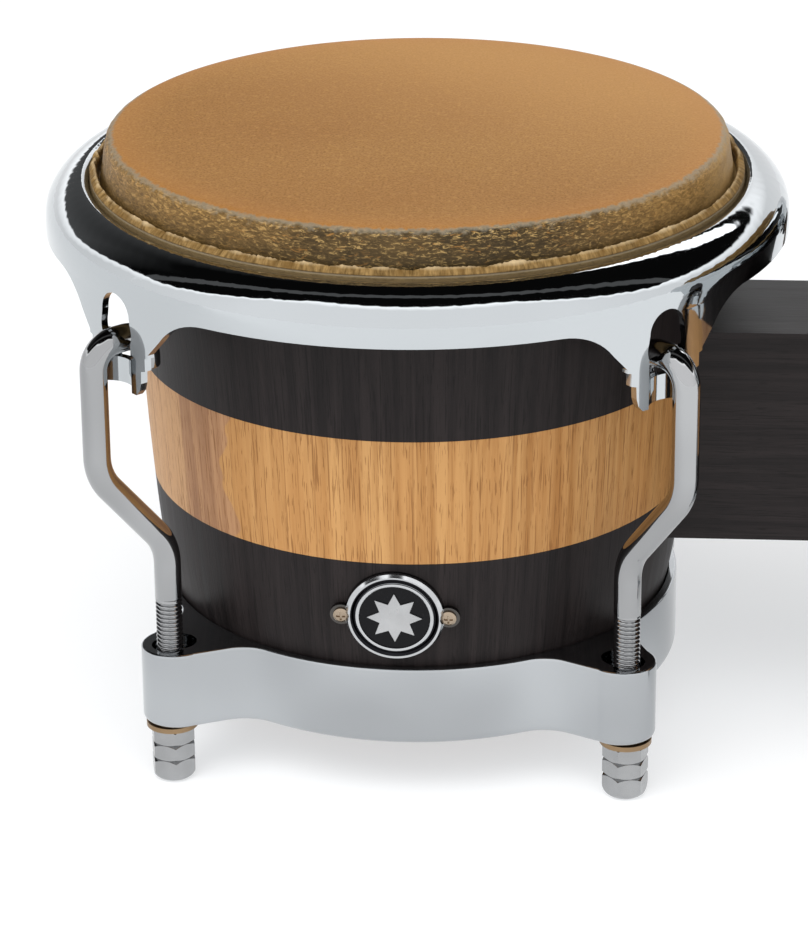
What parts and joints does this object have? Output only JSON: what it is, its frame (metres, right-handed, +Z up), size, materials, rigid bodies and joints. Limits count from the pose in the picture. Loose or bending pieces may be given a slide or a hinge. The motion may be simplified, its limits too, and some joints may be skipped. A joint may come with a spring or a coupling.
{
  "type": "bongo drums",
  "caption": "Pair of hand drums with tensioned hide heads, chrome rims, hooked tuning rods, lugged bottom rings and a wooden centre block.",
  "frame": {"origin": "centre of the footprint, on the surface that the feet stand on", "axes": "+X from the larger drum to the smaller drum, +Z up towards the heads, badges face -Y"},
  "size_m": [0.5016, 0.2632, 0.2184],
  "materials": {
    "shell_wood": "satin",
    "head_skin": "satin",
    "hoop_steel": "satin",
    "rim_chrome": "gloss",
    "ring_chrome": "gloss",
    "washer_brass": "satin",
    "badge_metal": "gloss",
    "badge_enamel": "gloss",
    "badge_emblem": "gloss",
    "screw_steel": "satin",
    "plate_steel": "satin",
    "bolt_steel": "satin",
    "rod_chrome": "gloss",
    "nut_steel": "satin",
    "block_wood": "satin",
    "insert_brass": "satin"
  },
  "bodies": {
    "base": {"large_shell": "shell_wood", "large_bottom_ring": "ring_chrome", "large_washers": "washer_brass", "large_badge": "badge_metal", "large_badge_enamel": "badge_enamel", "large_badge_emblem": "badge_emblem", "large_badge_screws": "screw_steel", "large_backing_plate": "plate_steel", "large_block_bolts": "bolt_steel", "small_shell": "shell_wood", "small_bottom_ring": "ring_chrome", "small_washers": "washer_brass", "small_badge": "badge_metal", "small_badge_enamel": "badge_enamel", "small_badge_emblem": "badge_emblem", "small_badge_screws": "screw_steel", "small_backing_plate": "plate_steel", "small_block_bolts": "bolt_steel", "center_block": "block_wood", "block_inserts": "insert_brass"},
    "large_top": {"large_rim": "rim_chrome", "large_head_skin": "head_skin", "large_flesh_hoop": "hoop_steel", "large_rod_1": "rod_chrome", "large_rod_2": "rod_chrome", "large_rod_3": "rod_chrome", "large_rod_4": "rod_chrome"},
    "large_nut_1": {"large_nuts_1": "nut_steel", "large_foot_nut_1": "nut_steel"},
    "large_nut_2": {"large_nuts_2": "nut_steel", "large_foot_nut_2": "nut_steel"},
    "large_nut_3": {"large_nuts_3": "nut_steel", "large_foot_nut_3": "nut_steel"},
    "large_nut_4": {"large_nuts_4": "nut_steel", "large_foot_nut_4": "nut_steel"},
    "small_top": {"small_rim": "rim_chrome", "small_head_skin": "head_skin", "small_flesh_hoop": "hoop_steel", "small_rod_1": "rod_chrome", "small_rod_2": "rod_chrome", "small_rod_3": "rod_chrome", "small_rod_4": "rod_chrome"},
    "small_nut_1": {"small_nuts_1": "nut_steel", "small_foot_nut_1": "nut_steel"},
    "small_nut_2": {"small_nuts_2": "nut_steel", "small_foot_nut_2": "nut_steel"},
    "small_nut_3": {"small_nuts_3": "nut_steel", "small_foot_nut_3": "nut_steel"},
    "small_nut_4": {"small_nuts_4": "nut_steel", "small_foot_nut_4": "nut_steel"}
  },
  "joints": [
    {"name": "large_tension", "type": "slide", "parent": "base", "child": "large_top", "axis": [0, 0, 1], "range_m": [0, 0.004]},
    {"name": "large_nut_turn_1", "type": "hinge", "parent": "base", "child": "large_nut_1", "pos_m": [-0.20226, -0.07741, 0.011], "axis": [0, 0, -1], "range_deg": [0, 912]},
    {"name": "large_nut_turn_2", "type": "hinge", "parent": "base", "child": "large_nut_2", "pos_m": [-0.04184, -0.08301, 0.011], "axis": [0, 0, -1], "range_deg": [0, 912]},
    {"name": "large_nut_turn_3", "type": "hinge", "parent": "base", "child": "large_nut_3", "pos_m": [-0.03624, 0.07741, 0.011], "axis": [0, 0, -1], "range_deg": [0, 912]},
    {"name": "large_nut_turn_4", "type": "hinge", "parent": "base", "child": "large_nut_4", "pos_m": [-0.19666, 0.08301, 0.011], "axis": [0, 0, -1], "range_deg": [0, 912]},
    {"name": "small_tension", "type": "slide", "parent": "base", "child": "small_top", "axis": [0, 0, 1], "range_m": [0, 0.004]},
    {"name": "small_nut_turn_1", "type": "hinge", "parent": "base", "child": "small_nut_1", "pos_m": [0.06887, -0.06788, 0.011], "axis": [0, 0, -1], "range_deg": [0, 912]},
    {"name": "small_nut_turn_2", "type": "hinge", "parent": "base", "child": "small_nut_2", "pos_m": [0.20463, -0.06788, 0.011], "axis": [0, 0, -1], "range_deg": [0, 912]},
    {"name": "small_nut_turn_3", "type": "hinge", "parent": "base", "child": "small_nut_3", "pos_m": [0.20463, 0.06788, 0.011], "axis": [0, 0, -1], "range_deg": [0, 912]},
    {"name": "small_nut_turn_4", "type": "hinge", "parent": "base", "child": "small_nut_4", "pos_m": [0.06887, 0.06788, 0.011], "axis": [0, 0, -1], "range_deg": [0, 912]}
  ],
  "couplings": [
    {"joint": "large_nut_turn_1", "follows": "large_tension", "rad_per_m": 3957.9},
    {"joint": "large_nut_turn_2", "follows": "large_tension", "rad_per_m": 3957.9},
    {"joint": "large_nut_turn_3", "follows": "large_tension", "rad_per_m": 3957.9},
    {"joint": "large_nut_turn_4", "follows": "large_tension", "rad_per_m": 3957.9},
    {"joint": "small_nut_turn_1", "follows": "small_tension", "rad_per_m": 3957.9},
    {"joint": "small_nut_turn_2", "follows": "small_tension", "rad_per_m": 3957.9},
    {"joint": "small_nut_turn_3", "follows": "small_tension", "rad_per_m": 3957.9},
    {"joint": "small_nut_turn_4", "follows": "small_tension", "rad_per_m": 3957.9}
  ]
}
